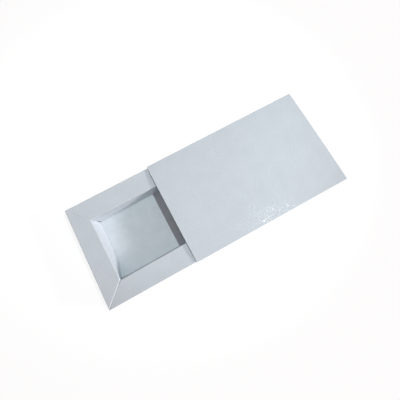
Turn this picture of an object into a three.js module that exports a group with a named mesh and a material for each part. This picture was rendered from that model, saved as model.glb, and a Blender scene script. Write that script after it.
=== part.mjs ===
import * as THREE from 'three';

// Chocolate box in folded white board: a frame tray that slides out of a flat sleeve.
// Lengths are in millimetres. The origin is the middle of the sleeve's underside, which rests on the table.
// +X runs along the sleeve, away from the tray's pull end, +Y points to the seam side and +Z up.
// Each blank is built panel by panel, from crease to crease. A panel that turns an edge carries the crease.

// Board and creases
const board = 0.5;
const creaseInside = 0.15;
const creaseOutside = board + creaseInside;
const creaseSteps = 5;

// Tray, measured over its outer faces
const trayLength = 168;
const trayWidth = 105;
const trayHeight = 19;
const endRimWidth = 19.2;
const longRimWidth = 20.8;
const mitreGap = 0.4;

// Inner walls, which hang from the rim and end just above the floor
const innerWallLift = 0.3;
const innerCornerGap = 0.2;
const innerWallTaper = 0.6;
const innerWallSteps = 24;

// The front inner wall is folded less firmly at its right-hand end, where its free edge swings back
// below the rim
const frontWallSwing = 5.7;
const frontWallSwingReach = 24;

// Glue tabs inside the hollow walls
const cornerTabLength = 16;
const mitreTabInset = 1.5;
const mitreTabSeat = 1.2;
const mitreTabReach = 8;
const mitreTabTaper = 2.5;

// Sleeve, and how far the tray stands out of it
const sleeveLength = 169;
const slideGap = 0.25;
const headroom = 0.7;
const sleeveCrown = 1.2;
const crownSteps = 12;
const exposedLength = 90.8;
const seamFlapFreeHeight = 4;
const seamFlapBevel = 3.5;
const seamEdgeLift = 0.3;

// The sleeve is wider by one board than the tray needs, because its seam has two layers.
// Its height is taken at the two long edges, and between them the top panel arches up by the crown.
const sleeveWidth = trayWidth + 2 * slideGap + 3 * board;
const sleeveHeight = board + slideGap + trayHeight + headroom + board;

// Axis changes for extruded outlines: outline x, outline y and depth turn into the three axes named
const outlineToYZX = new THREE.Matrix4().makeBasis(
  new THREE.Vector3(0, 1, 0),
  new THREE.Vector3(0, 0, 1),
  new THREE.Vector3(1, 0, 0),
);
const outlineToXZBack = new THREE.Matrix4().makeBasis(
  new THREE.Vector3(1, 0, 0),
  new THREE.Vector3(0, 0, 1),
  new THREE.Vector3(0, -1, 0),
);

const finishes = {
  coated: { color: 0xe9edf0, roughness: 0.32, metalness: 0 },
  uncoated: { color: 0xf1f0ec, roughness: 0.85, metalness: 0 },
};

function panel(name, geometry, finish) {
  const mesh = new THREE.Mesh(geometry, new THREE.MeshStandardMaterial(finishes[finish]));
  mesh.name = name;
  return mesh;
}

function quarterRound(centreX, centreY, radius, startAngle, endAngle) {
  const clockwise = endAngle < startAngle;
  const curve = new THREE.EllipseCurve(centreX, centreY, radius, radius, startAngle, endAngle, clockwise);
  return curve.getPoints(creaseSteps);
}

function extrude(points, depth) {
  return new THREE.ExtrudeGeometry(new THREE.Shape(points), { depth, bevelEnabled: false });
}

// The points between two creases of a panel that arches up by its crown, or none for a flat panel
function crownPoints(from, to, height, crown) {
  const points = [];
  const steps = crown > 0 ? crownSteps : 1;
  for (let i = 1; i < steps; i += 1) {
    const share = i / steps;
    points.push(new THREE.Vector2(from + (to - from) * share, height + crown * 4 * share * (1 - share)));
  }
  return points;
}

// End view of a strip whose two long edges turn down through a crease; its creases end at height zero
function turnedStripOutline(width, crown) {
  const nearCentre = creaseOutside;
  const farCentre = width - creaseOutside;
  return [
    ...quarterRound(nearCentre, -creaseOutside, creaseOutside, Math.PI, Math.PI / 2),
    ...crownPoints(nearCentre, farCentre, 0, crown),
    ...quarterRound(farCentre, -creaseOutside, creaseOutside, Math.PI / 2, 0),
    ...quarterRound(farCentre, -creaseOutside, creaseInside, 0, Math.PI / 2),
    ...crownPoints(farCentre, nearCentre, -board, crown),
    ...quarterRound(nearCentre, -creaseOutside, creaseInside, Math.PI / 2, Math.PI),
  ];
}

function upsideDown(points) {
  return points.map((point) => new THREE.Vector2(point.x, -point.y));
}

// A strip that runs along X, centred on it, with its outline across Y
function stripAlongX(outline, length) {
  const geometry = extrude(outline, length);
  geometry.applyMatrix4(outlineToYZX);
  return geometry.translate(-length / 2, 0, 0);
}

function boxBetween(low, high) {
  const size = new THREE.Vector3().subVectors(high, low);
  const middle = new THREE.Vector3().addVectors(low, high).multiplyScalar(1 / 2);
  return new THREE.BoxGeometry(size.x, size.y, size.z).translate(middle.x, middle.y, middle.z);
}

function sleeveTopPanel() {
  const geometry = stripAlongX(turnedStripOutline(sleeveWidth, sleeveCrown), sleeveLength);
  return geometry.translate(0, -sleeveWidth / 2, sleeveHeight);
}

// The bottom panel stops one board short of the seam side, where it turns up into the seam flap
function sleeveBottomPanel() {
  const geometry = stripAlongX(upsideDown(turnedStripOutline(sleeveWidth - board, 0)), sleeveLength);
  return geometry.translate(0, -sleeveWidth / 2, 0);
}

function sleeveRightSide() {
  return boxBetween(
    new THREE.Vector3(-sleeveLength / 2, -sleeveWidth / 2, creaseOutside),
    new THREE.Vector3(sleeveLength / 2, -sleeveWidth / 2 + board, sleeveHeight - creaseOutside),
  );
}

// The left side closes over the seam flap and ends in a cut edge just above the table
function sleeveLeftSide() {
  return boxBetween(
    new THREE.Vector3(-sleeveLength / 2, sleeveWidth / 2 - board, seamEdgeLift),
    new THREE.Vector3(sleeveLength / 2, sleeveWidth / 2, sleeveHeight - creaseOutside),
  );
}

function sleeveSeamFlap() {
  const bottom = creaseOutside;
  const top = sleeveHeight - creaseOutside - seamFlapFreeHeight;
  const outline = [
    new THREE.Vector2(-sleeveLength / 2, bottom),
    new THREE.Vector2(sleeveLength / 2, bottom),
    new THREE.Vector2(sleeveLength / 2 - seamFlapBevel, top),
    new THREE.Vector2(-sleeveLength / 2 + seamFlapBevel, top),
  ];
  const geometry = extrude(outline, board);
  geometry.applyMatrix4(outlineToXZBack);
  return geometry.translate(0, sleeveWidth / 2 - board, 0);
}

function buildSleeve() {
  const sleeve = new THREE.Group();
  sleeve.add(
    panel('sleeve_top_panel', sleeveTopPanel(), 'coated'),
    panel('sleeve_bottom_panel', sleeveBottomPanel(), 'coated'),
    panel('sleeve_right_side', sleeveRightSide(), 'coated'),
    panel('sleeve_left_side', sleeveLeftSide(), 'coated'),
    panel('sleeve_seam_flap', sleeveSeamFlap(), 'uncoated'),
  );
  return sleeve;
}

// The base turns up along both long sides; its ends stop where the end walls' own creases begin
function trayBase() {
  const geometry = stripAlongX(upsideDown(turnedStripOutline(trayWidth, 0)), trayLength - 2 * creaseOutside);
  return geometry.translate(0, -trayWidth / 2, 0);
}

// Each side of the tray is built in a frame of its own: X along the side, Y inward from its outer face, Z up.
// The span is the side's length over its corners, rim is its own rim's width and nextRim that of the two
// sides that it meets, and a swing belongs to the end of the side at +X.
const endSide = { isEnd: true, span: trayWidth, rim: endRimWidth, nextRim: longRimWidth, swing: 0 };
const longSide = { isEnd: false, span: trayLength, rim: longRimWidth, nextRim: endRimWidth, swing: 0 };
const traySides = [
  { ...endSide, name: 'front', turn: -Math.PI / 2, x: -trayLength / 2, y: 0, swing: frontWallSwing },
  { ...endSide, name: 'rear', turn: Math.PI / 2, x: trayLength / 2, y: 0 },
  { ...longSide, name: 'left', turn: Math.PI, x: 0, y: trayWidth / 2 },
  { ...longSide, name: 'right', turn: 0, x: 0, y: -trayWidth / 2 },
];

function longWall(side) {
  return boxBetween(
    new THREE.Vector3(-side.span / 2, 0, creaseOutside),
    new THREE.Vector3(side.span / 2, board, trayHeight - creaseOutside),
  );
}

// An end wall carries the crease to the base, and fits between the two corner tabs' creases
function endWall(side) {
  const top = trayHeight - creaseOutside;
  const outline = [
    ...quarterRound(creaseOutside, creaseOutside, creaseOutside, 3 * Math.PI / 2, Math.PI),
    new THREE.Vector2(0, top),
    new THREE.Vector2(board, top),
    ...quarterRound(creaseOutside, creaseOutside, creaseInside, Math.PI, 3 * Math.PI / 2),
  ];
  return stripAlongX(outline, side.span - 2 * board - 2 * creaseOutside);
}

// A rim turns down at both edges, and each end is cut back along the mitre, from outer to inner corner
function mitredRim(side) {
  const geometry = stripAlongX(turnedStripOutline(side.rim, 0), side.span);
  const mitreSlope = side.nextRim / side.rim;
  const gapAlong = (mitreGap / 2) * Math.hypot(1, mitreSlope);
  const points = geometry.attributes.position;
  for (let i = 0; i < points.count; i += 1) {
    const end = Math.sign(points.getX(i));
    const inward = points.getY(i);
    points.setX(i, end * (side.span / 2 - inward * mitreSlope - gapAlong));
  }
  return geometry.translate(0, 0, trayHeight);
}

// How much of the full swing the free edge has, at a distance from the wall's end
function swingShare(distance) {
  const nearness = Math.min(Math.max(distance / frontWallSwingReach, 0), 1);
  return (1 + Math.cos(Math.PI * nearness)) / 2;
}

// An inner wall hangs from the rim's inner crease, narrows a little to its free edge, and leans by its swing
function innerWall(side) {
  const creaseHeight = trayHeight - creaseOutside;
  const drop = creaseHeight - board - innerWallLift;
  const width = side.span - 2 * side.nextRim - 2 * innerCornerGap;
  const geometry = new THREE.BoxGeometry(width, board, drop, innerWallSteps, 1, 1);
  const points = geometry.attributes.position;
  for (let i = 0; i < points.count; i += 1) {
    const below = drop / 2 - points.getZ(i);
    const end = Math.sign(points.getX(i));
    const narrowing = innerWallTaper * (below / drop) * Math.abs(points.getX(i)) / (width / 2);
    const along = points.getX(i) - end * narrowing;
    const lean = Math.asin(side.swing * swingShare(width / 2 - along) / drop);
    const inward = side.rim - board / 2 + points.getY(i);
    points.setXYZ(i, along, inward - below * Math.sin(lean), creaseHeight - below * Math.cos(lean));
  }
  return geometry;
}

// A corner tab turns the end wall's edge and lies glued against the inside of the long wall
function cornerTab(side, hand) {
  const outerFace = side.span / 2 - board;
  const creaseCentre = outerFace - creaseOutside;
  const outline = [
    ...quarterRound(creaseCentre, creaseOutside, creaseOutside, -Math.PI / 2, 0),
    new THREE.Vector2(outerFace, cornerTabLength),
    new THREE.Vector2(outerFace - board, cornerTabLength),
    ...quarterRound(creaseCentre, creaseOutside, creaseInside, 0, -Math.PI / 2),
  ];
  const handed = outline.map((point) => new THREE.Vector2(hand * point.x, point.y));
  const geometry = extrude(handed, trayHeight - 2 * creaseOutside);
  return geometry.translate(0, 0, creaseOutside);
}

// A mitre tab runs from below the end rim across the mitre, and is glued below the long rim
function mitreTab(side, hand) {
  const outer = 2 * board + mitreTabInset;
  const inner = side.nextRim - creaseOutside - mitreTabInset;
  const corner = side.span / 2;
  const outerMitre = outer * side.rim / side.nextRim;
  const innerMitre = inner * side.rim / side.nextRim;
  const outline = [
    new THREE.Vector2(corner - outer, outerMitre - mitreTabSeat),
    new THREE.Vector2(corner - outer - mitreTabTaper, outerMitre + mitreTabReach),
    new THREE.Vector2(corner - inner + mitreTabTaper, innerMitre + mitreTabReach),
    new THREE.Vector2(corner - inner, innerMitre - mitreTabSeat),
  ];
  const handed = outline.map((point) => new THREE.Vector2(hand * point.x, point.y));
  const geometry = extrude(handed, board);
  return geometry.translate(0, 0, trayHeight - 2 * board);
}

function addEndTabs(group, side) {
  // The frame's +X end is the tray's right at the front wall, and the tray's left at the rear wall
  const handNames = side.name === 'front' ? { right: 1, left: -1 } : { left: 1, right: -1 };
  for (const [handName, hand] of Object.entries(handNames)) {
    group.add(panel(`tray_${side.name}_${handName}_corner_tab`, cornerTab(side, hand), 'uncoated'));
    group.add(panel(`tray_${side.name}_${handName}_mitre_tab`, mitreTab(side, hand), 'uncoated'));
  }
}

function buildTraySide(side) {
  const group = new THREE.Group();
  group.add(panel(`tray_${side.name}_wall`, side.isEnd ? endWall(side) : longWall(side), 'coated'));
  group.add(panel(`tray_${side.name}_rim`, mitredRim(side), 'coated'));
  group.add(panel(`tray_${side.name}_inner_wall`, innerWall(side), 'coated'));
  if (side.isEnd) {
    addEndTabs(group, side);
  }
  group.rotation.z = side.turn;
  group.position.set(side.x, side.y, 0);
  return group;
}

function buildTray() {
  const tray = new THREE.Group();
  tray.add(panel('tray_base', trayBase(), 'coated'));
  for (const side of traySides) {
    tray.add(buildTraySide(side));
  }
  return tray;
}

// The tray runs in the sleeve's channel, which lies half a board off centre because of the two-layer seam
const tray = buildTray();
tray.position.set(
  -sleeveLength / 2 - exposedLength + trayLength / 2,
  -board / 2,
  board + slideGap,
);

const box = new THREE.Group();
box.add(buildSleeve(), tray);

export default box;
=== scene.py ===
import math
from collections import namedtuple

import bpy
from mathutils import Matrix, Vector, noise


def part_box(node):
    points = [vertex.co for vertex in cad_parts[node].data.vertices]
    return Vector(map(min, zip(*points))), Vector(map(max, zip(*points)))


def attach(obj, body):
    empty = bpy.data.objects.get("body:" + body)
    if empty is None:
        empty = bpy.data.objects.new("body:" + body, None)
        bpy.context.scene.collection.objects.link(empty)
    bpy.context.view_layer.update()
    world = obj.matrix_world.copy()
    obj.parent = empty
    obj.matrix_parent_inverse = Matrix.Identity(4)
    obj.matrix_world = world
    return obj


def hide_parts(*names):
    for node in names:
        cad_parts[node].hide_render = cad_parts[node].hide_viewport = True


bl_info = {
    "name": "Drawer Chocolate Box",
    "version": (1, 0, 0),
    "blender": (4, 5, 0),
    "location": "View3D > Sidebar > Chocolate Box",
    "description": "Folds a board chocolate box, a frame tray in a sleeve, around its packed solids",
    "category": "Object",
}

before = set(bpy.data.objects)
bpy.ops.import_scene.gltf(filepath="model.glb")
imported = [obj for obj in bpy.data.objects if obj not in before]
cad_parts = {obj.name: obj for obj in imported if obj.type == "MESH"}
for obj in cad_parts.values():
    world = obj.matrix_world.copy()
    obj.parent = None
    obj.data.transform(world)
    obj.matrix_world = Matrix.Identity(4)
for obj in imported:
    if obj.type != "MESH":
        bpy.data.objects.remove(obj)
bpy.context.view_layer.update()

MILLIMETRE = 0.001
# A sheet's finishes, in the order of its material slots
FACE_FINISH = "Varnished clay-coated board"
BACK_FINISH = "Uncoated board back"
EDGE_FINISH = "Die-cut board edge"
# Two faces that meet at a wider angle than this keep a sharp edge between them
SHARP_ANGLE = math.radians(35)
# The lamps light white paper on the floor to about this share of full white
FLOOR_LIGHT = 0.6
# In millimetres, as Blender takes it
SENSOR_WIDTH = 36
# The camera's own directions, fitted to the straight edges of sleeve, tray and well
CAMERA_RIGHT = (0.877806, -0.478914, -0.009877)
CAMERA_UP = (0.471417, 0.860041, 0.195179)
CAMERA_BACK = (-0.084980, -0.175986, 0.980718)

# One point of a sheet's outline: its place, the way its coated face looks, its share of the way between
# the two creases, and how far into a crease it lies
OutlinePoint = namedtuple("OutlinePoint", "across height normal share fold")

# A tray side's own frame: the middle of its outer foot, its two directions and its length. rim is its rim's
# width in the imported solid. rims and next_rims are the depths of the well's corners at its two ends, from
# this side and from the sides that it meets. mitres says how the mitres at those ends came out, and is_end
# is true for the front and the rear.
TraySide = namedtuple("TraySide", "name origin along inward span rim rims next_rims mitres is_end")

# How one mitre came out: the gap between its two rims, how deep the end rim rolls down there, and its wear,
# which is 1 on a crease. The wear also sets how light its whitened coating is, partly as a painted
# highlight along the mitre
Mitre = namedtuple("Mitre", "gap sink wear")


def mm(length):
    return length * MILLIMETRE


def around(*nodes):
    """Lowest and highest corner of several solids together."""
    boxes = [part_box(node) for node in nodes]
    low = Vector(min(box[0][axis] for box in boxes) for axis in range(3))
    high = Vector(max(box[1][axis] for box in boxes) for axis in range(3))
    return low, high


sleeve_low, sleeve_high = around("sleeve_top_panel", "sleeve_bottom_panel")
tray_low, tray_high = around("tray_base", "tray_front_wall", "tray_rear_wall", "tray_front_rim",
                             "tray_left_wall", "tray_right_wall")


def extent(node, axis):
    """Size of one solid along one axis."""
    low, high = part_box(node)
    return high[axis] - low[axis]


def number(name, description, default, **more):
    """A setting for a number."""
    return bpy.props.FloatProperty(name=name, description=description, default=default, **more)


def size(name, description, millimetres, **more):
    """A setting for a size or a distance, given in millimetres."""
    return number(name, description, mm(millimetres), unit="LENGTH", **more)


def divisions(name, description, default):
    """A setting for how finely a mesh is divided."""
    return bpy.props.IntProperty(name=name, description=description, default=default, min=2)


def tint(name, description, srgb_hex):
    """A setting for a colour."""
    return bpy.props.StringProperty(name=name, description=description + ", as sRGB hex", default=srgb_hex)


def position(name, description, default):
    """A setting for a place in the scene, in metres."""
    return bpy.props.FloatVectorProperty(name=name, description=description, default=default, subtype="XYZ")


class BoardSettings(bpy.types.PropertyGroup):
    thickness: size("Board thickness", "Caliper of the folding board", 0.5)
    crease_radius: size("Crease radius", "Radius of the coated face where the board is folded", 0.65)
    crease_steps: divisions("Crease steps", "Facets round a folded edge", 8)
    crease_bead: size("Crease bead", "How far the creased board bulges on the inside of a fold", 0.1)
    edge_bevel: size("Cut edge bevel", "Rounding that the cutting rule leaves on a die-cut edge", 0.06)
    support: size(
        "Crease support", "Width of the narrow strip that keeps a panel flat beside its crease", 0.3)
    wave: size("Panel wave", "Height of the long shallow waves in a large panel", 0.05)
    wave_length: size("Wave length", "Distance between the long shallow waves", 42)


class SleeveSettings(bpy.types.PropertyGroup):
    crown_front: size("Crown at the mouth", "Rise of the top panel's middle at the mouth", 1.2)
    crown_rear: size("Crown at the rear", "Rise of the top panel's middle at the rear end", 0.6)
    crown_fullness: number("Crown fullness", "Power of the crown's curve, 2 for an even arch", 3.0)
    side_bow: size("Side bow", "How far a side panel bows towards the tray", 0.1)
    flap_bevel: size("Flap bevel", "How far the seam flap's ends are cut back", 3.5)
    length_steps: divisions("Length steps", "Divisions along the sleeve", 28)
    width_steps: divisions("Width steps", "Divisions across a wide panel", 20)


class TraySettings(bpy.types.PropertyGroup):
    mitre_gap: size("Mitre gap", "Gap between two rims at a mitre", 0.4)
    closed_gap: size("Closed mitre gap", "Gap at the front left mitre, which is folded shut", 0.04)
    closed_sink: size("Closed mitre sink", "How deep the end rim rolls down at the front left mitre", 0.06)
    mitre_roll: size("Mitre roll", "Width over which an end rim rolls down into its mitre tab", 0.9)
    # These wears set how far the coating whitens on creases and mitres; the whitening is partly real
    # cracking and partly a painted highlight where a crease catches the lamps
    mitre_wear_and_highlight: number("Mitre wear", "Cracking of the coating along a mitre, 1 as on a crease", 1.15)
    open_mitre_wear_and_highlight: number(
        "Front right mitre wear", "Cracking along the front right mitre, 1 as on a crease", 2.4)
    inner_wear_and_highlight: number(
        "Inner crease wear", "Cracking and bulge of a rim's inner crease, 1 as on its outer one", 0.63)
    roll_steps: divisions("Roll steps", "Divisions across the roll at a mitre", 6)
    rim_dip: size("Rim dip", "How far a rim dips between its two creases", 0.12)
    wall_bow: size("Wall bow", "How far an outer wall bows inward", 0.15)
    corner_shift: bpy.props.FloatVectorProperty(
        name="Corner shift", description="How far the well's front right corner is folded out of true",
        default=(mm(1.3), mm(-1.1)), size=2, unit="LENGTH")
    rear_shift: size("Rear corner shift", "How far the well's rear right corner is folded inward", 0.45)
    left_lean: size(
        "Left inner wall lean", "How far the left inner wall's free edge leans into the well", 0.8)
    front_lean: size(
        "Front inner wall lean", "How far the front inner wall's foot stands in from the packed rim", 2.4)
    inner_lift: size("Inner wall lift", "Gap below an inner wall's free edge", 0.4)
    left_lift: size("Left inner wall lift", "Gap below the left inner wall's free edge", 0.7)
    corner_gap: size("Corner gap", "Gap between a long inner wall and the end wall that it meets", 0.1)
    corner_lap: size("Corner lap", "How far an end inner wall runs past the long walls' faces", 0.4)
    foot_clip: size("Foot clip", "How far an end inner wall's sides draw in at its foot", 2.2)
    long_clip: size("Long foot clip", "How far a long inner wall's ends draw in at its foot", 0.9)
    clip_power: number("Clip power", "Power of a foot clip's curve, 1 for a straight side", 2.0)
    swing: size("Front wall swing", "How far the front inner wall's loose end swings back", 5.2)
    swing_reach: size("Swing reach", "Length over which the front inner wall swings back", 24)
    swing_power: number("Swing power", "Power of the swing's curve, 1 for a straight free edge", 1.3)
    tab_length: size("Corner tab length", "Reach of a corner tab along the long wall", 16)
    mitre_inset: size("Mitre tab inset", "Margin of a mitre tab from the walls", 1.5)
    mitre_reach: size("Mitre tab reach", "Reach of a mitre tab below the long rim", 8)
    mitre_taper: size("Mitre tab taper", "How far a mitre tab's sides draw in", 2.5)
    length_steps: divisions("Length steps", "Divisions along a long side of the tray", 28)
    width_steps: divisions("Width steps", "Divisions across a rim or wall", 8)


class FinishSettings(bpy.types.PropertyGroup):
    coated_colour: tint("Coated face", "Colour of the coated face", "D4DCE3")
    coated_shade: tint("Coated face, thin", "Colour where the coating is thin", "CFD7DE")
    # The cracked coating's colour is lighter than real cracking, as a painted highlight on creases and
    # mitres
    cracked_and_highlight_colour: tint("Cracked coating", "Colour of the coating on a crease", "F4F8FC")
    speck_colour: tint("Specks", "Colour of the few specks in the coating", "BBC5CE")
    back_colour: tint("Uncoated back", "Colour of the board's uncoated back", "D9E0E6")
    back_shade: tint("Uncoated back, between fibres", "Colour between the fibres", "D0D7DD")
    core_colour: tint("Cut core", "Colour of the fibre core at a cut edge", "D3D5D6")
    peel_spacing: size("Orange peel spacing", "Distance between the varnish's ripples", 1.6)
    peel_depth: size("Orange peel depth", "Depth of the varnish's ripples", 0.13, precision=6)
    island_gloss: number("Island gloss", "Weight of the varnish in its glossy islands", 0.07)
    fibre_spacing: size("Fibre spacing", "Distance between the fibres that show in the back", 0.7)
    fibre_depth: size("Fibre depth", "Height of the fibres in the back", 0.04, precision=6)


class StageSettings(bpy.types.PropertyGroup):
    floor_size: size("Floor size", "Side of the square floor", 8000)
    floor_drop: size("Floor drop", "Gap between the sleeve and the floor", 0.02)
    floor_colour: tint("Floor colour", "Colour of the floor as the box is lit by it", "EDEDED")
    floor_shadow: number(
        "Floor shadow", "Share of its depth that the box's shadow keeps there", 0.25, subtype="FACTOR")
    key_place: position("Key lamp", "Place of the small high lamp", (0.2073, -0.1016, 0.722))
    key_aim: position("Key lamp aim", "Point that the small high lamp faces", (-0.0406, 0.0601, 0.02))
    key_size: size("Key lamp size", "Diameter of the small high lamp", 18)
    key_cone: number(
        "Key lamp cone", "Angle of the small high lamp's beam", math.radians(36.2), subtype="ANGLE")
    key_softness: number(
        "Key lamp softness", "Share of the beam over which its edge fades", 0.87, subtype="FACTOR")
    key_power: number("Key lamp power", "Power of the small high lamp, in watts", 10.6)
    key_colour: tint("Key lamp colour", "Colour of the small high lamp", "F2FEFF")
    side_place: position("Side lamp", "Place of the soft low lamp", (5.26, -2.98, 2.126))
    side_aim: position("Side lamp aim", "Point that the soft low lamp faces", (-0.09, 0.0, 0.02))
    side_size: bpy.props.FloatVectorProperty(
        name="Side lamp size", description="Width and height of the soft low lamp",
        default=(2.5, 0.68), size=2, unit="LENGTH")
    side_power: number("Side lamp power", "Power of the soft low lamp, in watts", 264.0)
    side_colour: tint("Side lamp colour", "Colour of the soft low lamp", "FFF4F4")
    room_light: number("Room light", "Strength of the even light from all round", 0.3265)
    room_colour: tint("Room colour", "Colour of the even light", "FFF6F5")
    backdrop: number(
        "Backdrop", "Brightness of the backdrop behind the floor, 1 for white", 0.93, subtype="FACTOR")
    lens: number("Lens", "Focal length in millimetres, on a sensor 36 mm wide", 23.8925)
    image_shift: bpy.props.FloatVectorProperty(
        name="Image shift", description="Shift of the picture on the sensor, as a share of its width",
        default=(-0.00125, 0.00125), size=2, precision=5)
    eye: position("Camera", "Place of the camera", (-0.07549, -0.04865, 0.27572))


def linear(srgb_hex):
    """Linear colour, with alpha, of an sRGB hex value."""
    channels = [int(srgb_hex[index:index + 2], 16) / 255 for index in (0, 2, 4)]
    curve = [c / 12.92 if c <= 0.04045 else ((c + 0.055) / 1.055) ** 2.4 for c in channels]
    return (*curve, 1.0)


def add_node(tree, kind, settings=None, links=None):
    """Adds one shader node with its settings and the sockets that feed it. A node in links stands for its
    first output."""
    node = tree.nodes.new("ShaderNode" + kind)
    for key, value in (settings or {}).items():
        if isinstance(key, int) or key in node.inputs:
            node.inputs[key].default_value = value
        else:
            setattr(node, key, value)
    for key, source in (links or {}).items():
        socket = source.outputs[0] if isinstance(source, bpy.types.Node) else source
        tree.links.new(socket, node.inputs[key])
    return node


def new_material(name):
    """An empty node material and its tree."""
    material = bpy.data.materials.new(name)
    material.use_nodes = True
    material.node_tree.nodes.clear()
    return material, material.node_tree


def varnished_board(finish):
    """Clay-coated folding board, calendered and thinly varnished: a satin white face whose fine orange peel
    breaks a lamp's reflection into sparkles, with few specks and cracked coating on creases, whose whitening
    is partly real and partly a painted highlight."""
    material, tree = new_material(FACE_FINISH)
    place = add_node(tree, "TexCoord").outputs["Object"]
    # The pulp's cloudy formation shows through the coating in finely mottled patches, about 16 mm across
    cloud = add_node(tree, "TexNoise", {"Scale": 1 / mm(16), "Detail": 3.0, "Roughness": 0.55},
                     {"Vector": place})
    mottle = add_node(tree, "TexNoise", {"Scale": 1 / mm(1.6), "Detail": 4.0, "Roughness": 0.6},
                      {"Vector": place})
    both = add_node(tree, "Math", {"operation": "MULTIPLY_ADD", 1: 0.45}, {0: mottle, 2: cloud})
    thin = add_node(tree, "MapRange", {"From Min": 0.5, "From Max": 0.95}, {"Value": both})
    face = add_node(tree, "Mix",
                    {"data_type": "RGBA", 6: linear(finish.coated_colour), 7: linear(finish.coated_shade)},
                    {0: thin})
    # Now and then a fibre bundle or a grain of clay shows as a faint speck, up to 1 mm across
    cells = add_node(tree, "TexVoronoi", {"Scale": 1 / mm(19)}, {"Vector": place})
    speck = add_node(tree, "MapRange", {"From Min": 0.035, "From Max": 0.02}, {"Value": cells})
    speckled = add_node(tree, "Mix", {"data_type": "RGBA", 7: linear(finish.speck_colour)},
                        {0: speck, 6: face.outputs[2]})
    # The coating cracks and whitens along a fold, in streaks about 0.5 mm apart; the whitening is lighter
    # than real cracking, as a painted highlight on the crease
    fold = add_node(tree, "Attribute", {"attribute_name": "fold"})
    cracks = add_node(tree, "TexNoise", {"Scale": 1 / mm(0.5), "Detail": 3.0, "Roughness": 0.7},
                      {"Vector": place})
    worn_and_highlit = add_node(tree, "Math", {"operation": "MULTIPLY"}, {0: fold.outputs["Fac"], 1: cracks})
    crack_and_highlight_mask = add_node(tree, "MapRange", {"From Min": 0.15, "From Max": 0.9}, {"Value": worn_and_highlit})
    colour = add_node(tree, "Mix", {"data_type": "RGBA", 7: linear(finish.cracked_and_highlight_colour)},
                      {0: crack_and_highlight_mask, 6: speckled.outputs[2]})
    rough = add_node(tree, "MapRange", {"From Min": 0.3, "From Max": 0.7, "To Min": 0.56, "To Max": 0.68},
                     {"Value": mottle})
    # The varnish stays glossy in islands under a millimetre across, and sinks in between them
    island = add_node(tree, "TexNoise", {"Scale": 1 / mm(1.3), "Detail": 1.0}, {"Vector": place})
    gloss = add_node(tree, "MapRange",
                     {"From Min": 0.5, "From Max": 0.68, "To Min": 0.006, "To Max": finish.island_gloss},
                     {"Value": island})
    # Real ripples are a few thousandths of a millimetre deep. They are drawn deeper, so that they show.
    # They are closer together along the box than across it, as the coater drew them.
    stretched = add_node(tree, "Mapping", {"Scale": (1.3, 0.8, 1.0)}, {"Vector": place})
    peel = add_node(tree, "TexNoise", {"Scale": 1 / finish.peel_spacing, "Detail": 1.0, "Roughness": 0.4},
                    {"Vector": stretched})
    rippled = add_node(tree, "Bump", {"Distance": finish.peel_depth}, {"Height": peel})
    cracked = add_node(tree, "Bump", {"Distance": mm(0.05)}, {"Height": worn_and_highlit, "Normal": rippled})
    grain = add_node(tree, "Bump", {"Distance": mm(0.02)}, {"Height": mottle, "Normal": cracked})
    shader = add_node(tree, "BsdfPrincipled",
                      {"IOR": 1.5, "Metallic": 0.0, "Specular IOR Level": 0.25, "Coat Roughness": 0.09,
                       "Coat IOR": 1.5},
                      {"Base Color": colour.outputs[2], "Roughness": rough, "Coat Weight": gloss,
                       "Normal": grain, "Coat Normal": cracked})
    add_node(tree, "OutputMaterial", links={"Surface": shader})
    return material


def uncoated_back(finish):
    """The same board's bare side, as it left the paper machine: matte white fibre, faintly streaked along
    the machine direction, that takes light softly and shows no sparkle."""
    material, tree = new_material(BACK_FINISH)
    place = add_node(tree, "TexCoord").outputs["Object"]
    # Fibres lie mostly along the machine direction, so the pattern is drawn out three times along X
    drawn = add_node(tree, "Mapping", {"Scale": (1 / 3, 1.0, 1.0)}, {"Vector": place})
    # Real fibres are 0.03 mm across. They are drawn coarser, so that they show.
    fibre = add_node(tree, "TexNoise",
                     {"Scale": 1 / finish.fibre_spacing, "Detail": 5.0, "Roughness": 0.65,
                      "Distortion": 0.4},
                     {"Vector": drawn})
    cloud = add_node(tree, "TexNoise", {"Scale": 1 / mm(9), "Detail": 3.0, "Roughness": 0.6},
                     {"Vector": place})
    both = add_node(tree, "Math", {"operation": "MULTIPLY_ADD", 1: 0.6}, {0: fibre, 2: cloud})
    between = add_node(tree, "MapRange", {"From Min": 0.55, "From Max": 1.05}, {"Value": both})
    colour = add_node(tree, "Mix",
                      {"data_type": "RGBA", 6: linear(finish.back_colour), 7: linear(finish.back_shade)},
                      {0: between})
    rough = add_node(tree, "MapRange", {"From Min": 0.3, "From Max": 0.7, "To Min": 0.84, "To Max": 0.96},
                     {"Value": fibre})
    bump = add_node(tree, "Bump", {"Distance": finish.fibre_depth}, {"Height": fibre})
    shader = add_node(tree, "BsdfPrincipled", {"IOR": 1.45, "Metallic": 0.0},
                      {"Base Color": colour.outputs[2], "Roughness": rough, "Normal": bump})
    add_node(tree, "OutputMaterial", links={"Surface": shader})
    return material


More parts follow.
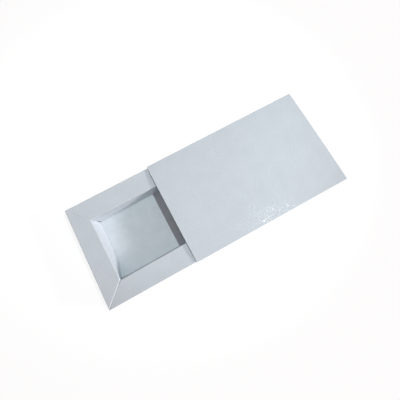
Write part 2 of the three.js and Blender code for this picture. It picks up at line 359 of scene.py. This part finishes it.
def die_cut_edge(finish):
    """Board cut by a steel rule: a thin bright line of coating over a torn fibre core, matte and a little
    greyer than the face, with the short upright streaks that the rule leaves."""
    material, tree = new_material(EDGE_FINISH)
    place = add_node(tree, "TexCoord").outputs["Object"]
    depth = add_node(tree, "Attribute", {"attribute_name": "depth"})
    # The rule's streaks stand upright and about 0.25 mm apart
    upright = add_node(tree, "Mapping", {"Scale": (1.0, 1.0, 0.25)}, {"Vector": place})
    streak = add_node(tree, "TexNoise", {"Scale": 1 / mm(0.25), "Detail": 3.0, "Roughness": 0.7},
                      {"Vector": upright})
    core = add_node(tree, "Mix",
                    {"data_type": "RGBA", 6: linear(finish.core_colour), 7: linear(finish.back_colour)},
                    {0: streak})
    # The coating's thin line takes the same colour as cracked coating, which is painted lighter as a
    # highlight
    coating = add_node(tree, "MapRange", {"From Min": 0.16, "From Max": 0.06},
                       {"Value": depth.outputs["Fac"]})
    colour = add_node(tree, "Mix", {"data_type": "RGBA", 7: linear(finish.cracked_and_highlight_colour)},
                      {0: coating, 6: core.outputs[2]})
    rough = add_node(tree, "MapRange", {"From Min": 0.3, "From Max": 0.7, "To Min": 0.8, "To Max": 0.95},
                     {"Value": streak})
    bump = add_node(tree, "Bump", {"Distance": mm(0.04)}, {"Height": streak})
    shader = add_node(tree, "BsdfPrincipled", {"IOR": 1.45, "Metallic": 0.0},
                      {"Base Color": colour.outputs[2], "Roughness": rough, "Normal": bump})
    add_node(tree, "OutputMaterial", links={"Surface": shader})
    return material


def seen_background(tree):
    """One for the rays that show the background: the camera's, and those off gloss or through glass."""
    path = add_node(tree, "LightPath")
    seen = add_node(tree, "Math", {"operation": "MAXIMUM"},
                    {0: path.outputs["Is Camera Ray"], 1: path.outputs["Is Glossy Ray"]})
    return add_node(tree, "Math", {"operation": "MAXIMUM"},
                    {0: seen, 1: path.outputs["Is Transmission Ray"]})


def stage_paper(colour, shadow_share):
    """Seamless background paper: the camera sees it nearly white with a faint shadow of the box, and the box
    is lit by it as by matte white paper."""
    material, tree = new_material("Seamless matte paper")
    seen = seen_background(tree)
    place = add_node(tree, "TexCoord").outputs["Object"]
    tooth = add_node(tree, "TexNoise", {"Scale": 1 / mm(1.5), "Detail": 3.0}, {"Vector": place})
    bump = add_node(tree, "Bump", {"Distance": mm(0.02)}, {"Height": tooth})
    paper = add_node(tree, "BsdfDiffuse", {"Color": colour}, {"Normal": bump})
    faint = add_node(tree, "BsdfDiffuse", {"Color": (shadow_share, shadow_share, shadow_share, 1.0)})
    white = add_node(tree, "Emission", {"Strength": 1.0 - shadow_share * FLOOR_LIGHT})
    shown = add_node(tree, "AddShader", links={0: faint, 1: white})
    surface = add_node(tree, "MixShader", links={0: seen, 1: paper, 2: shown})
    add_node(tree, "OutputMaterial", links={"Surface": surface})
    return material


def folded_edge(board, centre_across, centre_height, start, end):
    """Outline points round one crease, from one angle to another, the coated face outermost."""
    points = []
    for step in range(board.crease_steps + 1):
        share = step / board.crease_steps
        angle = start + (end - start) * share
        normal = (math.cos(angle), math.sin(angle))
        points.append(OutlinePoint(centre_across + board.crease_radius * normal[0],
                                   centre_height + board.crease_radius * normal[1],
                                   normal, 0.0, math.sin(math.pi * share)))
    return points


def flat_stretch(start, end, normal, steps, support):
    """Outline points along a flat panel, with one close to each end, but without the ends themselves."""
    length = math.dist(start, end)
    near = support / length
    shares = [near] + [near + (1 - 2 * near) * step / steps for step in range(1, steps)] + [1 - near]
    return [OutlinePoint(start[0] + (end[0] - start[0]) * share, start[1] + (end[1] - start[1]) * share,
                         normal, share, 0.0) for share in shares]


def turned_strip(board, width, steps, far_wear_and_highlight=1.0):
    """Outline of a strip that turns down through a crease at both long edges. Its flat face is at height
    zero, and the last argument scales the bulge and the whitened coating of its far crease against the near
    one's; that whitening is partly a painted highlight."""
    radius = board.crease_radius
    near = folded_edge(board, radius, -radius, math.pi, math.pi / 2)
    far = folded_edge(board, width - radius, -radius, math.pi / 2, 0)
    far = [point._replace(share=1.0, fold=point.fold * far_wear_and_highlight) for point in far]
    return near + flat_stretch((radius, 0), (width - radius, 0), (0, 1), steps, board.support) + far


def flat_outline(start, end, normal, steps, support):
    """Outline of a flat panel, with both its ends."""
    first = OutlinePoint(start[0], start[1], normal, 0.0, 0.0)
    last = OutlinePoint(end[0], end[1], normal, 1.0, 0.0)
    return [first] + flat_stretch(start, end, normal, steps, support) + [last]


def evenly(low, high, steps):
    """Evenly spaced places from one end of a stretch to the other."""
    return [low + (high - low) * step / steps for step in range(steps + 1)]


def even_stations(low, high, steps):
    """The same evenly spaced sections for every point of an outline."""
    return lambda point: evenly(low, high, steps)


def arch(share):
    """Height of an even arch, 0 at both ends and 1 in the middle."""
    return 4 * share * (1 - share)


def no_shape(point, along):
    """Leaves a sheet as its outline and stations give it. A shape is a shift across, one up and a fold."""
    return 0.0, 0.0, 0.0


def panel_wave(board, point, along):
    """Height of a large panel's shallow waves, which fade out at its creases."""
    spot = Vector((along, point.across, 0)) / board.wave_length
    return board.wave * arch(point.share) * noise.noise(spot)


def sheet_points(board, outline, stations, place, shape):
    """The coated face and the back of a sheet, as rows of points with their fold."""
    rows = []
    for point in outline:
        row = []
        for along in stations(point):
            across, height, fold = shape(point, along)
            fold = max(fold, point.fold)
            depth = board.thickness + board.crease_bead * point.fold
            face = place(along, point.across + across, point.height + height)
            back = place(along, point.across + across - depth * point.normal[0],
                         point.height + height - depth * point.normal[1])
            row.append((face, back, fold))
        rows.append(row)
    return rows


def perimeter(rows, columns, cut):
    """Grid places round a sheet's border in order, each with whether a cut edge runs from it to the next."""
    last_row, last_column = rows - 1, columns - 1
    loop = [((0, column), cut[0]) for column in range(last_column)]
    loop += [((row, last_column), cut[3]) for row in range(last_row)]
    loop += [((last_row, column), cut[1]) for column in range(last_column, 0, -1)]
    loop += [((row, 0), cut[2]) for row in range(last_row, 0, -1)]
    return loop


def inset_step(points, row, column, cut, layer, bevel):
    """How far a border point draws back from the cut edges that it lies on."""
    last_row, last_column = len(points) - 1, len(points[0]) - 1
    borders = ((row == 0, 1, column), (row == last_row, last_row - 1, column),
               (column == 0, row, 1), (column == last_column, row, last_column - 1))
    here = points[row][column][layer]
    step = Vector()
    for is_cut, (on_border, next_row, next_column) in zip(cut, borders):
        if is_cut and on_border:
            step += (points[next_row][next_column][layer] - here).normalized() * bevel
    return step


def sheet_mesh(name, board, points, cut):
    """A closed mesh of one board panel. Its material slots are coated face, uncoated back and cut edge."""
    rows, columns = len(points), len(points[0])
    vertices, folds, depths, faces, materials = [], [], [], [], []
    for layer in (0, 1):
        for row in range(rows):
            for column in range(columns):
                step = inset_step(points, row, column, cut, layer, board.edge_bevel)
                vertices.append(points[row][column][layer] + step)
                folds.append(points[row][column][2])
                depths.append(float(layer))

    def at(layer, row, column):
        return (layer * rows + row) * columns + column

    for layer in (0, 1):
        for row in range(rows - 1):
            for column in range(columns - 1):
                quad = [at(layer, row, column), at(layer, row + 1, column),
                        at(layer, row + 1, column + 1), at(layer, row, column + 1)]
                faces.append(quad if layer == 0 else quad[::-1])
                materials.append(layer)
    loop = perimeter(rows, columns, cut)
    bevel_share = board.edge_bevel / board.thickness
    chains = []
    for (row, column), _ in loop:
        face, back, fold = points[row][column]
        chain = [at(0, row, column)]
        for share in (bevel_share, 1 - bevel_share):
            chain.append(len(vertices))
            vertices.append(face.lerp(back, share))
            folds.append(fold)
            depths.append(share)
        chain.append(at(1, row, column))
        chains.append(chain)
    for (_, is_cut), chain, following in zip(loop, chains, chains[1:] + chains[:1]):
        for link in range(len(chain) - 1):
            faces.append([chain[link], following[link], following[link + 1], chain[link + 1]])
            materials.append(2 if is_cut else min(link, 1))
    mesh = bpy.data.meshes.new(name)
    mesh.from_pydata([tuple(vertex) for vertex in vertices], [], faces)
    mesh.polygons.foreach_set("material_index", materials)
    for key, values in (("fold", folds), ("depth", depths)):
        mesh.attributes.new(key, "FLOAT", "POINT").data.foreach_set("value", values)
    face_outward(mesh)
    mesh.shade_smooth()
    mesh.set_sharp_from_angle(angle=SHARP_ANGLE)
    return mesh


def face_outward(mesh):
    """Turns every face if the closed mesh is inside out."""
    mesh.calc_loop_triangles()
    triangles = [[mesh.vertices[index].co for index in item.vertices] for item in mesh.loop_triangles]
    if sum(a.dot(b.cross(c)) for a, b, c in triangles) < 0:
        mesh.flip_normals()


def add_panel(node, body, board, outline, stations, place, cut, shape=no_shape):
    """Makes the board panel that stands for one solid, and lets it ride with its body.
    cut says which borders are cut edges: first and last outline point, first and last station."""
    points = sheet_points(board, outline, stations, place, shape)
    mesh = sheet_mesh(node + "_board", board, points, cut)
    for name in (FACE_FINISH, BACK_FINISH, EDGE_FINISH):
        mesh.materials.append(bpy.data.materials[name])
    panel = bpy.data.objects.new(node + "_board", mesh)
    bpy.context.scene.collection.objects.link(panel)
    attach(panel, body)
    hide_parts(node)


def tray_sides(board, tray):
    """The four tray sides, each in a frame of its own: along the side, inward from its outer face, up."""
    middle = (tray_low + tray_high) / 2
    length, width = tray_high.x - tray_low.x, tray_high.y - tray_low.y
    ends, sides = extent("tray_front_rim", 0), extent("tray_left_rim", 1)
    front_right = (ends + tray.corner_shift[0], sides + tray.corner_shift[1])
    rear_right = sides + tray.rear_shift
    plain = Mitre(tray.mitre_gap, board.thickness, tray.mitre_wear_and_highlight)
    closed = Mitre(tray.closed_gap, tray.closed_sink, tray.mitre_wear_and_highlight)
    # The front right mitre's strong whitening is partly wear and partly a painted highlight along it
    worn_and_highlit = Mitre(tray.mitre_gap, board.thickness, tray.open_mitre_wear_and_highlight)
    bottom = tray_low.z
    return [
        TraySide("front", Vector((tray_low.x, middle.y, bottom)), Vector((0, -1, 0)), Vector((1, 0, 0)),
                 width, ends, (ends, front_right[0]), (sides, front_right[1]), (closed, worn_and_highlit), True),
        TraySide("rear", Vector((tray_high.x, middle.y, bottom)), Vector((0, 1, 0)), Vector((-1, 0, 0)),
                 width, ends, (ends, ends), (rear_right, sides), (plain, plain), True),
        TraySide("left", Vector((middle.x, tray_high.y, bottom)), Vector((-1, 0, 0)), Vector((0, -1, 0)),
                 length, sides, (sides, sides), (ends, ends), (plain, closed), False),
        TraySide("right", Vector((middle.x, tray_low.y, bottom)), Vector((1, 0, 0)), Vector((0, 1, 0)),
                 length, sides, (front_right[1], rear_right), (front_right[0], ends), (worn_and_highlit, plain), False),
    ]


def well_ends(side):
    """Where a side's inner crease starts and ends, along the side."""
    return side.next_rims[0] - side.span / 2, side.span / 2 - side.next_rims[1]


def skew(side, along):
    """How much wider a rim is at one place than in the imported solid."""
    first, last = well_ends(side)
    share = (along - first) / (last - first)
    return side.rims[0] + (side.rims[1] - side.rims[0]) * share - side.rim


def mitre(side, across, end):
    """Where a rim ends at one of its mitres, and how far along the side a step of 1 straight across that
    mitre reaches."""
    slope = side.next_rims[end] / side.rim
    stretch = math.hypot(1, slope)
    reach = side.span / 2 - across * slope - side.mitres[end].gap / 2 * stretch
    return (-reach, reach)[end], stretch


def on_side(side, base_height=0.0):
    """Places a section's point on a tray side: along it, inward and up."""
    up = Vector((0, 0, 1))
    return lambda along, across, height: (
        side.origin + side.along * along + side.inward * across + up * (base_height + height))


def face_down(low):
    """Places a strip's section with its coated face down on a solid's underside."""
    return lambda along, across, height: Vector((along, low.y + across, low.z - height))


def as_drawn(along, across, height):
    """Places a section that is drawn where it stands."""
    return Vector((along, across, height))


class CHOCOLATE_BOX_OT_finishes(bpy.types.Operator):
    """Make the board's three finishes: coated face, uncoated back and cut edge"""
    bl_idname = "chocolate_box.finishes"
    bl_label = "Board finishes"

    def execute(self, context):
        finish = context.scene.box_finish
        varnished_board(finish)
        uncoated_back(finish)
        die_cut_edge(finish)
        return {"FINISHED"}


class CHOCOLATE_BOX_OT_sleeve_top(bpy.types.Operator):
    """Fold the sleeve's crowned top panel with its two long edges"""
    bl_idname = "chocolate_box.sleeve_top"
    bl_label = "Sleeve top"

    def execute(self, context):
        board, sleeve = context.scene.box_board, context.scene.box_sleeve
        edge_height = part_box("sleeve_right_side")[1].z + board.crease_radius
        length = sleeve_high.x - sleeve_low.x

        def crowned(point, along):
            share = (along - sleeve_low.x) / length
            crown = sleeve.crown_front + (sleeve.crown_rear - sleeve.crown_front) * share ** 2
            rise = crown * (1 - abs(2 * point.share - 1) ** sleeve.crown_fullness)
            # The waves fade out toward the mouth
            return 0.0, rise + panel_wave(board, point, along) * share, 0.0

        outline = turned_strip(board, sleeve_high.y - sleeve_low.y, sleeve.width_steps)
        add_panel("sleeve_top_panel", "sleeve", board, outline,
                  even_stations(sleeve_low.x, sleeve_high.x, sleeve.length_steps),
                  lambda along, across, height: Vector((along, sleeve_low.y + across, edge_height + height)),
                  (False, False, True, True), crowned)
        return {"FINISHED"}


class CHOCOLATE_BOX_OT_sleeve_bottom(bpy.types.Operator):
    """Fold the sleeve's flat bottom panel with its two long edges"""
    bl_idname = "chocolate_box.sleeve_bottom"
    bl_label = "Sleeve bottom"

    def execute(self, context):
        board, sleeve = context.scene.box_board, context.scene.box_sleeve
        low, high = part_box("sleeve_bottom_panel")
        outline = turned_strip(board, high.y - low.y, sleeve.width_steps)
        add_panel("sleeve_bottom_panel", "sleeve", board, outline,
                  even_stations(low.x, high.x, sleeve.length_steps), face_down(low),
                  (False, False, True, True))
        return {"FINISHED"}


class CHOCOLATE_BOX_OT_sleeve_sides(bpy.types.Operator):
    """Stand up the sleeve's two side panels and the glue flap inside its seam"""
    bl_idname = "chocolate_box.sleeve_sides"
    bl_label = "Sleeve sides and seam"

    def execute(self, context):
        board, sleeve = context.scene.box_board, context.scene.box_sleeve
        steps = sleeve.width_steps // 2
        for node, outward, last_cut in (("sleeve_right_side", -1, False), ("sleeve_left_side", 1, True)):
            low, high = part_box(node)
            face = low.y if outward < 0 else high.y

            def bowed(point, along):
                return -outward * sleeve.side_bow * arch(point.share), 0.0, 0.0

            add_panel(node, "sleeve", board,
                      flat_outline((face, high.z), (face, low.z), (outward, 0), steps, board.support),
                      even_stations(low.x, high.x, sleeve.length_steps), as_drawn,
                      (False, last_cut, True, True), bowed)
        low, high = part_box("sleeve_seam_flap")

        def flap_stations(point):
            cut_back = sleeve.flap_bevel * (1 - point.share)
            return evenly(low.x + cut_back, high.x - cut_back, sleeve.length_steps)

        add_panel("sleeve_seam_flap", "sleeve", board,
                  flat_outline((high.y, high.z), (high.y, low.z), (1, 0), steps, board.support),
                  flap_stations, as_drawn, (True, False, True, True))
        return {"FINISHED"}


class CHOCOLATE_BOX_OT_tray_base(bpy.types.Operator):
    """Fold the tray's base with its two long edges; its uncoated back is the floor of the well"""
    bl_idname = "chocolate_box.tray_base"
    bl_label = "Tray base"

    def execute(self, context):
        board, tray = context.scene.box_board, context.scene.box_tray
        low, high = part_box("tray_base")
        outline = turned_strip(board, high.y - low.y, 2 * tray.width_steps)
        add_panel("tray_base", "tray", board, outline,
                  even_stations(low.x, high.x, tray.length_steps), face_down(low),
                  (False, False, False, False))
        return {"FINISHED"}


class CHOCOLATE_BOX_OT_tray_walls(bpy.types.Operator):
    """Fold up the tray's four outer walls; the end walls carry the crease to the base"""
    bl_idname = "chocolate_box.tray_walls"
    bl_label = "Tray outer walls"

    def execute(self, context):
        board, tray = context.scene.box_board, context.scene.box_tray
        radius = board.crease_radius
        height = tray_high.z - tray_low.z
        for side in tray_sides(board, tray):
            node = f"tray_{side.name}_wall"
            # The outline runs up the wall, with the coated face outward
            outline = flat_outline((0, radius), (0, height - radius), (-1, 0), tray.width_steps,
                                   board.support)
            half = side.span / 2
            if side.is_end:
                outline = folded_edge(board, radius, radius, 3 * math.pi / 2, math.pi)[:-1] + outline
                half -= board.thickness + radius
            cut_end = not side.is_end

            def bowed(point, along):
                fade = max(0.0, 1 - (along / half) ** 2)
                return tray.wall_bow * arch(point.share) * fade, 0.0, 0.0

            add_panel(node, "tray", board, outline, even_stations(-half, half, tray.length_steps),
                      on_side(side), (False, False, cut_end, cut_end), bowed)
        return {"FINISHED"}


class CHOCOLATE_BOX_OT_tray_rims(bpy.types.Operator):
    """Fold the four rims in and mitre them; the end rims roll down into their mitre tabs"""
    bl_idname = "chocolate_box.tray_rims"
    bl_label = "Tray rims"

    def execute(self, context):
        board, tray = context.scene.box_board, context.scene.box_tray
        height = tray_high.z - tray_low.z
        for side in tray_sides(board, tray):

            def stations(point):
                first, near_stretch = mitre(side, point.across, 0)
                last, far_stretch = mitre(side, point.across, 1)
                start = first + tray.mitre_roll * near_stretch
                end = last - tray.mitre_roll * far_stretch
                near, far = evenly(first, start, tray.roll_steps), evenly(end, last, tray.roll_steps)
                return near[:-1] + evenly(start, end, tray.length_steps) + far[1:]

            def rolled(point, along):
                across = skew(side, along) * point.share
                dip = -tray.rim_dip * arch(point.share)
                if not side.is_end:
                    return across, dip, 0.0
                ends = [mitre(side, point.across, end) for end in (0, 1)]
                distances = [(along - ends[0][0]) / ends[0][1], (ends[1][0] - along) / ends[1][1]]
                share = min(max(1 - min(distances) / tray.mitre_roll, 0.0), 1.0)
                ease = share * share * (3 - 2 * share)
                # A mitre's wear sets how far its coating whitens, partly as wear and partly as a painted
                # highlight
                nearest = side.mitres[distances.index(min(distances))]
                sunk = dip * (1 - ease) - nearest.sink * ease
                return across, sunk, nearest.wear * math.sin(math.pi * share)

            cut = not side.is_end
            add_panel(f"tray_{side.name}_rim", "tray", board,
                      turned_strip(board, side.rim, tray.width_steps, tray.inner_wear_and_highlight), stations,
                      on_side(side, height), (False, False, cut, cut), rolled)
        return {"FINISHED"}


class CHOCOLATE_BOX_OT_tray_inner_walls(bpy.types.Operator):
    """Hang the four inner walls from the rims; the front one's loose end swings back below its rim"""
    bl_idname = "chocolate_box.tray_inner_walls"
    bl_label = "Tray inner walls"

    def execute(self, context):
        board, tray = context.scene.box_board, context.scene.box_tray
        crease_height = tray_high.z - tray_low.z - board.crease_radius
        for side in tray_sides(board, tray):
            lift = tray.left_lift if side.name == "left" else tray.inner_lift
            drop = crease_height - board.thickness - lift
            inset = -tray.corner_lap if side.is_end else tray.corner_gap
            first, last = well_ends(side)
            first, last = first + inset, last - inset
            swing = tray.swing if side.name == "front" else 0.0
            inward = {"left": tray.left_lean, "front": tray.front_lean}.get(side.name, 0.0)
            # The front wall's foot is straight, though its crease isn't, and the left wall makes room for it
            straight = 1.0 if side.name == "front" else 0.0
            foot_clip = tray.foot_clip if side.is_end else tray.long_clip
            cut_back = tray.front_lean if side.name == "left" else 0.0

            def stations(point):
                clip = foot_clip * point.share ** tray.clip_power
                return evenly(first + clip, last - clip - cut_back * point.share, tray.length_steps)

            def leaning(point, along):
                farness = min(max(1 - (last - along) / tray.swing_reach, 0.0), 1.0)
                lean = inward - swing * farness ** tray.swing_power
                return skew(side, along) * (1 - straight * point.share) + lean * point.share, 0.0, 0.0

            outline = flat_outline((side.rim, crease_height), (side.rim, crease_height - drop), (1, 0),
                                   tray.width_steps, board.support)
            add_panel(f"tray_{side.name}_inner_wall", "tray", board, outline, stations,
                      on_side(side), (False, True, True, True), leaning)
        return {"FINISHED"}


class CHOCOLATE_BOX_OT_glue_tabs(bpy.types.Operator):
    """Turn the corner tabs inside the long walls and run the mitre tabs below the long rims"""
    bl_idname = "chocolate_box.glue_tabs"
    bl_label = "Glue tabs"

    def execute(self, context):
        board, tray = context.scene.box_board, context.scene.box_tray
        for side in tray_sides(board, tray):
            if side.is_end:
                # Looking along the side, the end ahead is 1 and the end behind is -1
                hands = ("right", "left") if side.name == "front" else ("left", "right")
                for hand_name, hand in zip(hands, (1, -1)):
                    self.corner_tab(board, tray, side, f"tray_{side.name}_{hand_name}_corner_tab", hand)
                    self.mitre_tab(board, tray, side, f"tray_{side.name}_{hand_name}_mitre_tab", hand)
        return {"FINISHED"}

    def corner_tab(self, board, tray, side, node, hand):
        radius = board.crease_radius
        outer = side.span / 2 - board.thickness
        height = tray_high.z - tray_low.z
        fold = folded_edge(board, outer - radius, radius, -math.pi / 2, 0)
        straight = flat_outline((outer, radius), (outer, tray.tab_length), (1, 0), tray.width_steps,
                                board.support)
        place = on_side(side)
        add_panel(node, "tray", board, fold[:-1] + straight,
                  even_stations(radius, height - radius, tray.width_steps),
                  lambda rise, along, inward: place(hand * along, inward, rise), (False, True, True, True))

    def mitre_tab(self, board, tray, side, node, hand):
        end = (1 + hand) // 2
        slope = side.rims[end] / side.next_rims[end]
        outer = 2 * board.thickness + tray.mitre_inset
        inner = side.next_rims[end] - board.crease_radius - tray.mitre_inset
        corner = side.span / 2
        seat = side.mitres[end].gap / 2 * math.hypot(1, slope)
        place = on_side(side, tray_high.z - tray_low.z - board.thickness)

        # Each line of the tab starts on the mitre and runs below the long rim
        def tab_place(reach, across, height):
            from_corner = outer + (inner - outer) * across
            start = Vector((corner - from_corner, from_corner * slope - seat))
            taper = tray.mitre_taper * (1 - 2 * across)
            end = Vector((corner - from_corner - taper, from_corner * slope + tray.mitre_reach))
            spot = start.lerp(end, reach)
            return place(hand * spot.x, spot.y, height)

        # The outline and the stations run from 0 to 1, so the support strip is a share of the tab's width
        rough_width = mm(20)
        outline = flat_outline((0, 0), (1, 0), (0, 1), tray.width_steps, board.support / rough_width)
        add_panel(node, "tray", board, outline, even_stations(0, 1, tray.width_steps), tab_place,
                  (True, True, False, True))


class CHOCOLATE_BOX_OT_stage(bpy.types.Operator):
    """Lay the paper floor, hang the two lamps, set the room light and place the camera"""
    bl_idname = "chocolate_box.stage"
    bl_label = "Stage, lamps and camera"

    def execute(self, context):
        stage = context.scene.box_stage
        self.floor(context, stage)
        key = self.lamp(context, "Key lamp", "SPOT", stage.key_place, stage.key_aim, stage.key_power,
                        stage.key_colour)
        key.shadow_soft_size = stage.key_size / 2
        key.spot_size = stage.key_cone
        key.spot_blend = stage.key_softness
        side = self.lamp(context, "Side lamp", "AREA", stage.side_place, stage.side_aim, stage.side_power,
                         stage.side_colour)
        side.shape = "ELLIPSE"
        side.size, side.size_y = stage.side_size
        self.room(context, stage)
        self.camera(context, stage)
        context.scene.view_settings.view_transform = "Standard"
        return {"FINISHED"}

    def floor(self, context, stage):
        half = stage.floor_size / 2
        corners = [(-half, -half), (half, -half), (half, half), (-half, half)]
        mesh = bpy.data.meshes.new("floor")
        mesh.from_pydata([(x, y, -stage.floor_drop) for x, y in corners], [], [(0, 1, 2, 3)])
        mesh.materials.append(stage_paper(linear(stage.floor_colour), stage.floor_shadow))
        floor = bpy.data.objects.new("floor", mesh)
        context.scene.collection.objects.link(floor)

    def lamp(self, context, name, kind, place, aim, power, colour):
        data = bpy.data.lights.new(name, kind)
        data.energy = power
        data.color = linear(colour)[:3]
        lamp = bpy.data.objects.new(name, data)
        lamp.location = place
        lamp.rotation_euler = (Vector(aim) - Vector(place)).to_track_quat("-Z", "Y").to_euler()
        context.scene.collection.objects.link(lamp)
        return data

    def room(self, context, stage):
        world = bpy.data.worlds.new("Even room light")
        world.use_nodes = True
        tree = world.node_tree
        tree.nodes.clear()
        room = add_node(tree, "Background",
                        {"Color": linear(stage.room_colour), "Strength": stage.room_light})
        white = add_node(tree, "Background", {"Strength": stage.backdrop, "Color": linear("FFFFFF")})
        surface = add_node(tree, "MixShader", links={0: seen_background(tree), 1: room, 2: white})
        add_node(tree, "OutputWorld", links={"Surface": surface})
        context.scene.world = world

    def camera(self, context, stage):
        data = bpy.data.cameras.new("Camera")
        data.sensor_width = SENSOR_WIDTH
        data.lens = stage.lens
        data.shift_x, data.shift_y = stage.image_shift
        camera = bpy.data.objects.new("Camera", data)
        turn = Matrix((CAMERA_RIGHT, CAMERA_UP, CAMERA_BACK)).transposed()
        camera.matrix_world = Matrix.Translation(stage.eye) @ turn.to_4x4()
        context.scene.collection.objects.link(camera)
        context.scene.camera = camera


class CHOCOLATE_BOX_PT_panel(bpy.types.Panel):
    """Lists the box's pieces in the order in which they are made"""
    bl_idname = "CHOCOLATE_BOX_PT_panel"
    bl_label = "Chocolate Box"
    bl_space_type = "VIEW_3D"
    bl_region_type = "UI"
    bl_category = "Chocolate Box"

    def draw(self, context):
        for operator in PIECES:
            self.layout.operator(operator.bl_idname, text=operator.bl_label)
        for name in SETTINGS:
            settings = getattr(context.scene, name)
            for key in settings.__annotations__:
                self.layout.prop(settings, key)


SETTINGS = {
    "box_board": BoardSettings,
    "box_sleeve": SleeveSettings,
    "box_tray": TraySettings,
    "box_finish": FinishSettings,
    "box_stage": StageSettings,
}

PIECES = (
    CHOCOLATE_BOX_OT_finishes,
    CHOCOLATE_BOX_OT_sleeve_top,
    CHOCOLATE_BOX_OT_sleeve_bottom,
    CHOCOLATE_BOX_OT_sleeve_sides,
    CHOCOLATE_BOX_OT_tray_base,
    CHOCOLATE_BOX_OT_tray_walls,
    CHOCOLATE_BOX_OT_tray_rims,
    CHOCOLATE_BOX_OT_tray_inner_walls,
    CHOCOLATE_BOX_OT_glue_tabs,
    CHOCOLATE_BOX_OT_stage,
)


def register():
    for item in (*SETTINGS.values(), *PIECES, CHOCOLATE_BOX_PT_panel):
        bpy.utils.register_class(item)
    for name, settings in SETTINGS.items():
        setattr(bpy.types.Scene, name, bpy.props.PointerProperty(type=settings))


def unregister():
    for name in SETTINGS:
        delattr(bpy.types.Scene, name)
    for item in (CHOCOLATE_BOX_PT_panel, *reversed(PIECES), *reversed(SETTINGS.values())):
        bpy.utils.unregister_class(item)


def main():
    register()
    for operator in PIECES:
        group, name = operator.bl_idname.split(".")
        getattr(getattr(bpy.ops, group), name)()


if __name__ == "__main__":
    main()
